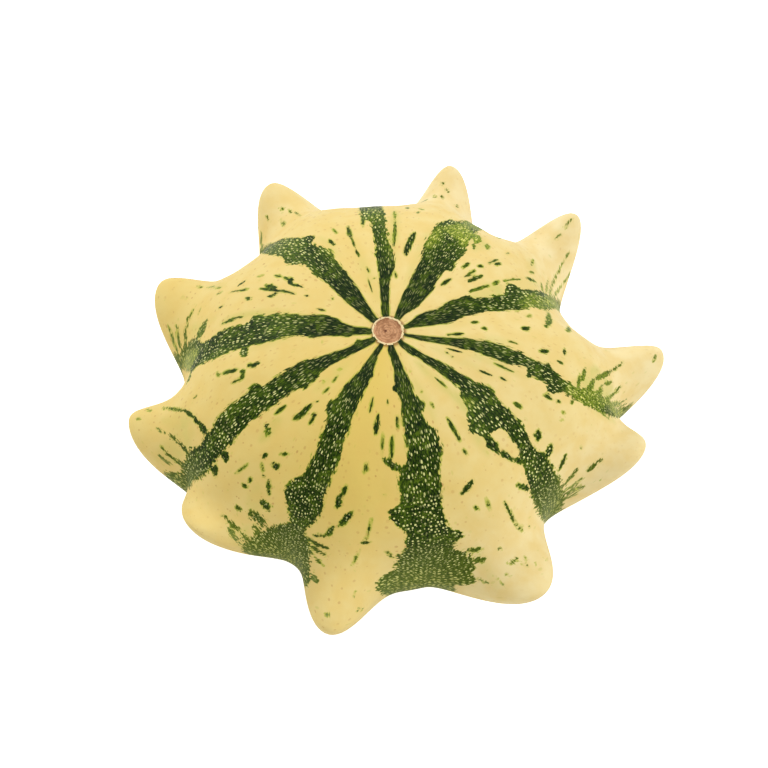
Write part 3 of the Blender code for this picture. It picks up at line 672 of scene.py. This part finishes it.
def gourd_mesh(surface):
    """A flat grid wrapped round the gourd: its first and last column are the same line."""
    columns = surface.points.shape[1]
    grid = bmesh.new()
    bmesh.ops.create_grid(grid, x_segments=columns, y_segments=ROWS, size=1.0)
    mesh = bpy.data.meshes.new("gourd_rind")
    grid.to_mesh(mesh)
    grid.free()
    flat = np.empty(len(mesh.vertices) * 3, dtype=np.float32)
    mesh.vertices.foreach_get("co", flat)
    x, y, _ = flat.reshape(-1, 3).T
    column = np.rint((1 + x) / 2 * columns).astype(int) % columns
    row = np.rint((1 - y) / 2 * ROWS).astype(int)
    points = surface.points[row, column] * MM
    mesh.vertices.foreach_set("co", points.ravel().astype(np.float32))
    return mesh, row, column


def close_up(mesh):
    """Join the grid's edges along the seam, at the scar's middle and at the blossom end."""
    grid = bmesh.new()
    grid.from_mesh(mesh)
    bmesh.ops.remove_doubles(grid, verts=grid.verts, dist=SEAM_GAP)
    grid.to_mesh(mesh)
    grid.free()
    mesh.shade_smooth()


def set_numbers(mesh, name, values, kind="FLOAT"):
    """Keep values on the mesh's points for its materials to read."""
    field = "vector" if kind == "FLOAT_VECTOR" else "value"
    layer = mesh.attributes.new(name, kind, "POINT")
    layer.data.foreach_set(field, values.ravel().astype(np.float32))


def paint(colour):
    """A colour as the shaders count it, from one as the eye sees it."""
    return (*(((part / 255 + 0.055) / 1.055) ** 2.4 for part in colour), 1.0)


def add(tree, kind, feeds=(), **settings):
    """Add a shader node. A feed is a socket's name or number and a value or a node's output."""
    made = tree.nodes.new("ShaderNode" + kind)
    for name, value in settings.items():
        setattr(made, name, value)
    for socket, value in dict(feeds).items():
        if isinstance(value, bpy.types.NodeSocket):
            tree.links.new(value, made.inputs[socket])
        else:
            made.inputs[socket].default_value = value
    return made


def work(tree, operation, *values):
    """The output of a maths node."""
    return add(tree, "Math", enumerate(values), operation=operation).outputs[0]


def times(tree, *values):
    """The product of two values."""
    return work(tree, "MULTIPLY", *values)


def lay_over(tree, under, over, share):
    """Cover one colour with another where share is 1."""
    feeds = {0: share, 6: under, 7: over}
    return add(tree, "Mix", feeds, data_type="RGBA").outputs[2]


def ease(tree, value, low, high, start=0.0, end=1.0):
    """Map a value smoothly from low and high to start and end."""
    feeds = {"Value": value, "From Min": low, "From Max": high, "To Min": start, "To Max": end}
    return add(tree, "MapRange", feeds, interpolation_type="SMOOTHSTEP").outputs[0]


def read(tree, name, output="Fac"):
    """One of the numbers or places kept on the mesh."""
    return add(tree, "Attribute", attribute_name=name).outputs[output]


def stretched(tree, vector, across, down):
    """Places counted in steps of across and down."""
    parts = add(tree, "SeparateXYZ", {0: vector}).outputs
    feeds = {
        0: work(tree, "DIVIDE", parts[0], across),
        1: work(tree, "DIVIDE", parts[1], down),
        2: work(tree, "DIVIDE", parts[2], across),
    }
    return add(tree, "CombineXYZ", feeds).outputs[0]


def distance(tree, place, start):
    """How far a place is from a fixed start."""
    feeds = {0: place, 1: start}
    return add(tree, "VectorMath", feeds, operation="DISTANCE").outputs["Value"]


def new_group(name, inputs, outputs):
    """An empty shader group: its tree, its inputs and its output node."""
    tree = bpy.data.node_groups.new(name, "ShaderNodeTree")
    for way, sockets in (("INPUT", inputs), ("OUTPUT", outputs)):
        for socket, kind in sockets.items():
            tree.interface.new_socket(name=socket, in_out=way, socket_type="NodeSocket" + kind)
    return tree, tree.nodes.new("NodeGroupInput").outputs, tree.nodes.new("NodeGroupOutput").inputs


def ragged_edge_group():
    """Turns a depth in millimetres into a mask whose edge is broken into small blocks."""
    inputs = {"Vector": "Vector", "Depth": "Float", "Across": "Float", "Down": "Float"}
    inputs |= {"Ragged": "Float", "Softness": "Float"}
    tree, given, out = new_group("ragged edge", inputs, {"Mask": "Float"})
    steps = stretched(tree, given["Vector"], given["Across"], given["Down"])
    noise = add(tree, "TexNoise", {"Vector": steps, "Scale": 0.7, "Detail": 3.0})
    cells = add(tree, "TexVoronoi", {"Vector": steps, "Scale": 1.3})
    block = add(tree, "SeparateColor", {0: cells.outputs["Color"]}).outputs[0]
    wave = work(tree, "SUBTRACT", noise.outputs[0], 0.5)
    block = work(tree, "SUBTRACT", block, 0.5)
    shift = work(tree, "MULTIPLY_ADD", wave, 2.0, block)
    depth = work(tree, "MULTIPLY_ADD", shift, given["Ragged"], given["Depth"])
    outer = times(tree, given["Softness"], -1.0)
    tree.links.new(ease(tree, depth, outer, given["Softness"]), out["Mask"])
    return tree


def speck_group():
    """Small round marks, one to a step across and down, of uneven size and strength."""
    inputs = {"Vector": "Vector", "Across": "Float", "Down": "Float"}
    inputs |= {"Size": "Float", "Share": "Float"}
    tree, given, out = new_group("specks", inputs, {"Mask": "Float"})
    steps = stretched(tree, given["Vector"], given["Across"], given["Down"])
    feeds = {"Vector": steps, "Scale": 1.0, "Randomness": 0.9}
    cells = add(tree, "TexVoronoi", feeds, voronoi_dimensions="2D")
    luck = add(tree, "SeparateColor", {0: cells.outputs["Color"]}).outputs
    kept = ease(tree, work(tree, "SUBTRACT", given["Share"], luck[0]), 0.0, 0.7, 0.2, 1.0)
    kept = times(tree, kept, work(tree, "LESS_THAN", luck[0], given["Share"]))
    reach = times(tree, given["Size"], work(tree, "ADD", luck[1], 0.5))
    near = work(tree, "SUBTRACT", 1.0, work(tree, "DIVIDE", cells.outputs["Distance"], reach))
    mask = ease(tree, near, -0.15, 0.35)
    tree.links.new(times(tree, mask, kept), out["Mask"])
    return tree


def mottle_group():
    """Uneven patches from 0 to 1, sharper as Contrast rises."""
    inputs = {"Vector": "Vector", "Across": "Float", "Down": "Float"}
    inputs |= {"Contrast": "Float", "Detail": "Float"}
    tree, given, out = new_group("mottle", inputs, {"Mask": "Float"})
    steps = stretched(tree, given["Vector"], given["Across"], given["Down"])
    feeds = {"Vector": steps, "Scale": 1.0, "Detail": given["Detail"]}
    patches = add(tree, "TexNoise", feeds)
    reach = work(tree, "DIVIDE", 0.25, given["Contrast"])
    low, high = (work(tree, way, 0.5, reach) for way in ("SUBTRACT", "ADD"))
    tree.links.new(ease(tree, patches.outputs[0], low, high), out["Mask"])
    return tree


def use(tree, group, **feeds):
    """Place a group in a material with its own values and read its mask."""
    feeds = {name.capitalize(): value for name, value in feeds.items()}
    return add(tree, "Group", feeds, node_tree=group).outputs["Mask"]


def new_material(name):
    """An empty material with its shader, and the millimetre places of the object."""
    material = bpy.data.materials.new(name)
    material.use_nodes = True
    tree = material.node_tree
    shader = tree.nodes["Principled BSDF"]
    metres = add(tree, "TexCoord").outputs["Object"]
    feeds = {0: metres, "Scale": 1 / MM}
    places = add(tree, "VectorMath", feeds, operation="SCALE").outputs[0]
    return material, tree, shader, places


def by_zone(tree, group, step, **feeds):
    """Read a group's mask, drawn out down the crown and along the barbs at the horns' roots."""
    pattern = read(tree, "pattern", "Vector")
    parts = add(tree, "SeparateXYZ", {0: pattern}).outputs
    down = add(tree, "CombineXYZ", {0: parts[0], 1: parts[1]}).outputs[0]
    barbs = add(tree, "CombineXYZ", {0: parts[0], 1: parts[2]}).outputs[0]
    crown, body, horns = (
        use(tree, group, vector=places, across=step * across, down=step * fall, **feeds)
        for places, (across, fall) in zip((down, down, barbs), DRAWN_OUT)
    )
    near_stem = ease(tree, read(tree, "crown"), 0.4, 0.6)
    on_horns = ease(tree, read(tree, "pull"), 0.35, 0.65)
    upper = add(tree, "Mix", {0: near_stem, 2: body, 3: crown}).outputs[0]
    return add(tree, "Mix", {0: on_horns, 2: upper, 3: horns}).outputs[0]


def stripe_green(tree, mottle, places, spots):
    """Deep, mottled green of the stripes, with bright margins and cream specks."""
    inside, depth = read(tree, "green"), read(tree, "depth")
    network = by_zone(tree, mottle, NETWORK_STEP, contrast=2.2, detail=1.5)
    bright = use(tree, mottle, vector=places, across=3.0, down=3.0, contrast=1.6, detail=3.0)

    core = ease(tree, inside, 0.0, 0.45, 0.4, 1.0)
    deep = times(tree, times(tree, core, depth), ease(tree, network, 0, 1, 0.5, 1))
    deep = times(tree, deep, ease(tree, bright, 0, 1, 1, 0.75))
    near_stem = ease(tree, read(tree, "growth"), *STEM_DARK)
    deep = work(tree, "MAXIMUM", deep, times(tree, near_stem, 0.85))
    # By the stem the green darkens, with a painted blue-grey reflection
    dark = lay_over(tree, paint(DEEP_GREEN), paint(STEM_GREEN_AND_REFLECTION), near_stem)
    green = lay_over(tree, paint(LEAF_GREEN), dark, deep)
    margin = times(tree, ease(tree, inside, 0.5, 0.0), ease(tree, bright, 0, 1, 0.1, 0.75))
    pale = work(tree, "MAXIMUM", work(tree, "SUBTRACT", 1.0, depth), margin)
    pale = work(tree, "MAXIMUM", pale, ease(tree, bright, 0.5, 1.0, 0.1, 0.4))
    least = ease(tree, depth, 0.5, 0.1, 0.2, 0.5)
    pale = times(tree, pale, ease(tree, network, 0.1, 0.9, 1, least))
    green = lay_over(tree, green, paint(LIGHT_GREEN), pale)
    palest = times(tree, ease(tree, depth, 0.6, 0.1), ease(tree, network, 0, 1, 0.5, 0))
    green = lay_over(tree, green, paint(LIME), palest)
    worn = times(tree, read(tree, "pull"), ease(tree, network, 0, 1, 0.8, 0.3))
    olive = lay_over(tree, paint(OLIVE), paint(PALE_OLIVE), ease(tree, depth, 0.4, 0.1))
    green = lay_over(tree, green, olive, worn)
    speck = lay_over(tree, paint(LIME_SPECK), paint(SPECK), ease(tree, depth, 0.2, 0.8))
    return lay_over(tree, green, speck, spots)


def ripe_yellow(tree, specks, mottle, places, pores, fringe):
    """Yellow of the rind with painted sheen, creamier on the lit horns, with lime fringes, pores,
    dashes and painted shade round the scar.
    """
    # Painted sheen: cream laid over the yellow where light falls
    yellow = lay_over(tree, paint(YELLOW), paint(SHEEN_CREAM), read(tree, "cream"))
    patches = use(tree, mottle, vector=places, across=4.5, down=4.5, contrast=1.1, detail=4.0)
    yellow = lay_over(tree, yellow, paint(WARM), times(tree, patches, 0.45))
    veil = times(tree, read(tree, "veil"), ease(tree, patches, 1, 0, 0.35, 1))
    fringe = times(tree, fringe, ease(tree, patches, 0.2, 0.8, 1.0, 0.3))
    veil = work(tree, "MAXIMUM", veil, fringe)
    yellow = lay_over(tree, yellow, paint(LIME), times(tree, veil, 0.8))
    # Pores fade under the painted sheen
    pores = times(tree, pores, ease(tree, read(tree, "cream"), 0.7, 0.3, 0.25, 0.8))
    yellow = lay_over(tree, yellow, paint(PORE), pores)
    dashes = by_zone(tree, specks, DASH_STEP, size=0.12, share=0.22)
    yellow = lay_over(tree, yellow, paint(LIME), times(tree, dashes, 0.6))
    # Painted shade: the skin darkened in the groove where it meets the scar
    groove_shade = ease(tree, read(tree, "growth"), *SCAR_GROOVE_SHADE, 0.0, 0.75)
    return lay_over(tree, yellow, paint(DARK_CORK_AND_SHADE), groove_shade)


def set_inputs(shader, values):
    """Set inputs of a shader by their names."""
    for socket, value in values.items():
        shader.inputs[socket].default_value = value


def end_material(tree, shader, colour, roughness, height, depth, strength):
    """Give a shader its colour, its roughness and the relief of its height, depth deep."""
    tree.links.new(colour, shader.inputs["Base Color"])
    tree.links.new(roughness, shader.inputs["Roughness"])
    bump = {"Height": height, "Distance": depth, "Strength": strength}
    tree.links.new(add(tree, "Bump", bump).outputs[0], shader.inputs["Normal"])


def rind_material(ragged, specks, mottle):
    """Cream-yellow waxy rind with deep green, speckled stripes and flecks."""
    material, tree, shader, places = new_material("gourd rind")
    inside, rough = read(tree, "green"), read(tree, "ragged")
    mask = by_zone(tree, ragged, EDGE_STEP, depth=inside, ragged=rough, softness=0.1)
    wider = work(tree, "ADD", inside, FRINGE_WIDTH)
    fringe = by_zone(tree, ragged, EDGE_STEP, depth=wider, ragged=rough, softness=0.2)
    speck_size = ease(tree, read(tree, "depth"), 0.2, 0.8, 0.3, 0.22)
    spots = by_zone(tree, specks, SPECK_STEP, size=speck_size, share=0.95)
    spots = times(tree, spots, ease(tree, inside, 0.3, 0.6))
    spots = times(tree, spots, ease(tree, read(tree, "growth"), *SPECKS_START, 0.3, 1.0))
    pattern = read(tree, "pattern", "Vector")
    pore_size = ease(tree, read(tree, "pull"), 0.0, 1.0, 0.17, 0.1)
    pores = use(tree, specks, vector=pattern, across=1.8, down=2.0, size=pore_size, share=0.36)

    green = stripe_green(tree, mottle, places, spots)
    yellow = ripe_yellow(tree, specks, mottle, places, pores, fringe)
    colour = lay_over(tree, yellow, green, mask)
    uneven = use(tree, mottle, vector=places, across=1.6, down=1.6, contrast=0.8, detail=4.0)
    roughness = ease(tree, uneven, 0.0, 1.0, 0.4, 0.54)
    height = work(tree, "MULTIPLY_ADD", spots, 0.25, times(tree, uneven, 0.5))
    height = work(tree, "SUBTRACT", height, times(tree, pores, 0.6))
    end_material(tree, shader, colour, roughness, height, 0.12 * MM, 0.6)
    set_inputs(shader, WAXY_SHEEN)
    return material


def cork_material(ragged, specks, mottle):
    """Dry pinkish cork with rings, inside a paler torn rim."""
    material, tree, shader, places = new_material("stem cork")
    parts = add(tree, "SeparateXYZ", {0: places}).outputs
    flat = add(tree, "CombineXYZ", {0: parts[0], 1: parts[1]}).outputs[0]
    radius = distance(tree, flat, SCAR_OFFSET)
    patches = use(tree, mottle, vector=places, across=1.3, down=1.3, contrast=1.2, detail=4.0)
    wobble = work(tree, "MULTIPLY_ADD", patches, 0.5, radius)
    rings = work(tree, "SINE", times(tree, wobble, 9.5))
    colour = lay_over(tree, paint(CORK), paint(DARK_CORK_AND_SHADE), ease(tree, rings, 0.0, 1.0, 0.0, 0.45))
    colour = lay_over(tree, colour, paint(DARK_CORK_AND_SHADE), ease(tree, patches, 0.3, 1.0, 0.0, 0.6))
    heart = distance(tree, flat, HEART_PLACE)
    colour = lay_over(tree, colour, paint(CORK_HEART), ease(tree, heart, 0.5, 0.1))
    depth = work(tree, "SUBTRACT", radius, RIM_STARTS)
    rim = use(tree, ragged, vector=places, depth=depth, across=1.2, down=1.2, ragged=0.3,
              softness=0.1)
    colour = lay_over(tree, colour, paint(RIM_CREAM), rim)
    roughness = ease(tree, patches, 0.0, 1.0, 0.65, 0.9)
    height = work(tree, "MULTIPLY_ADD", rings, 0.3, patches)
    end_material(tree, shader, colour, roughness, height, 0.15 * MM, 0.8)
    return material


def make_gourd():
    """The gourd's rind with its markings, standing for the solid."""
    surface = grown_surface()
    mesh, row, column = gourd_mesh(surface)
    for name, values in skin_zones(surface, green_marks(surface)).items():
        set_numbers(mesh, name, values[row, column])
    set_numbers(mesh, "pattern", pattern_places(surface)[row, column], "FLOAT_VECTOR")
    close_up(mesh)

    groups = ragged_edge_group(), speck_group(), mottle_group()
    mesh.materials.append(rind_material(*groups))
    mesh.materials.append(cork_material(*groups))
    middles = np.empty(len(mesh.polygons) * 3, dtype=np.float32)
    mesh.polygons.foreach_get("center", middles)
    x, y, z = middles.reshape(-1, 3).T / MM
    on_scar = (np.hypot(x - SCAR_OFFSET[0], y) < CORK_RADIUS) & (z > -REST_LEVEL)
    on_blossom = (np.hypot(x, y) < BLOSSOM_RADIUS) & (z < -REST_LEVEL)
    mesh.polygons.foreach_set("material_index", (on_scar | on_blossom).astype(np.int32))

    gourd = bpy.data.objects.new("gourd_rind", mesh)
    bpy.context.scene.collection.objects.link(gourd)
    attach(gourd, "root")
    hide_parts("gourd")


def make_floor():
    """A plain pale floor."""
    mesh = bpy.data.meshes.new("floor")
    grid = bmesh.new()
    bmesh.ops.create_grid(grid, x_segments=1, y_segments=1, size=3.0)
    grid.to_mesh(mesh)
    grid.free()
    material = bpy.data.materials.new("pale floor")
    material.use_nodes = True
    tree = material.node_tree
    shader = tree.nodes["Principled BSDF"]
    feeds = {"Base Color": paint(FLOOR_WHITE), "Roughness": 0.9, "Emission Color": WHITE}
    set_inputs(shader, feeds)
    seen = add(tree, "LightPath").outputs["Is Camera Ray"]
    tree.links.new(times(tree, seen, FLOOR_GLOW), shader.inputs["Emission Strength"])
    mesh.materials.append(material)
    floor = bpy.data.objects.new("floor", mesh)
    floor.location.z = -FLOOR_GAP
    bpy.context.scene.collection.objects.link(floor)


def add_light(name, place, power):
    """A soft square light turned towards the gourd."""
    lamp = bpy.data.lights.new(name, "AREA")
    lamp.size = SOFTBOX_SIZE
    lamp.energy = power
    light = bpy.data.objects.new(name, lamp)
    light.location = place
    light.rotation_mode = "QUATERNION"
    light.rotation_quaternion = (Vector((0, 0, WAIST)) - Vector(place)).to_track_quat("-Z", "Y")
    bpy.context.scene.collection.objects.link(light)


def make_studio():
    """Even white light from all round, and a large soft light at the right and at the back."""
    scene = bpy.context.scene
    world = bpy.data.worlds.new("white studio")
    world.use_nodes = True
    set_inputs(world.node_tree.nodes["Background"], {"Color": WHITE, "Strength": SKY_STRENGTH})
    scene.world = world
    add_light("right softbox", RIGHT_BOX, RIGHT_POWER)
    add_light("back softbox", BACK_BOX, BACK_POWER)
    scene.view_settings.view_transform = "Standard"


def make_camera():
    """Look down at the gourd from the front, as close as its photo seems to be taken."""
    lens = bpy.data.cameras.new("camera")
    lens.lens = CAMERA_LENS
    lens.shift_x, lens.shift_y = CAMERA_SHIFT
    lens.dof.use_dof = False
    lens.clip_start = 0.05
    camera = bpy.data.objects.new("camera", lens)
    back = Vector((0, -cos(CAMERA_ELEVATION), sin(CAMERA_ELEVATION)))
    camera.location = Vector((0, 0, WAIST)) + back * CAMERA_DISTANCE
    camera.rotation_mode = "QUATERNION"
    roll = Quaternion((0, 0, 1), CAMERA_ROLL)
    camera.rotation_quaternion = (-back).to_track_quat("-Z", "Y") @ roll
    bpy.context.scene.collection.objects.link(camera)
    bpy.context.scene.camera = camera


make_camera()
make_studio()
make_floor()
make_gourd()
